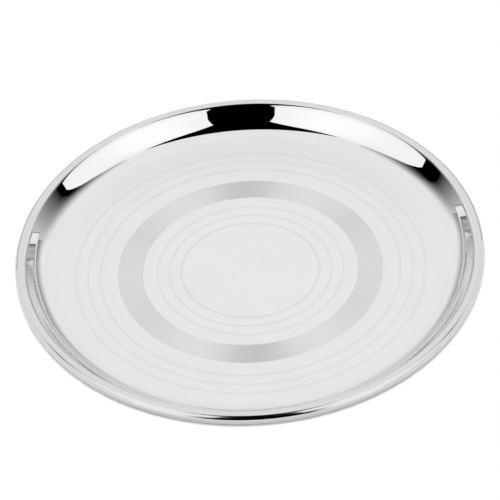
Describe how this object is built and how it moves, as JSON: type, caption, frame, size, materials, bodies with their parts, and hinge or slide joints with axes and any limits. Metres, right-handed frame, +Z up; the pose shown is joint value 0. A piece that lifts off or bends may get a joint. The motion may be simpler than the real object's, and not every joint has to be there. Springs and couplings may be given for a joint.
{
  "type": "thali plate",
  "caption": "Shallow round steel serving plate with a leaning wall, an edge rolled over a stiffening wire, and fine ring lines turned in its flat floor.",
  "frame": {"origin": "centre of the underside of the floor, on the table", "axes": "+Z up along the plate's axis; X and Y are any two directions across the round plate"},
  "size_m": [0.3, 0.3, 0.0174],
  "materials": {
    "sheet_steel": "satin floor with one brushed band, polished wall and rolled edge",
    "wire_steel": "drawn wire, unpolished"
  },
  "bodies": {
    "root": {"dish": "sheet_steel", "rim_wire": "wire_steel"}
  },
  "joints": []
}
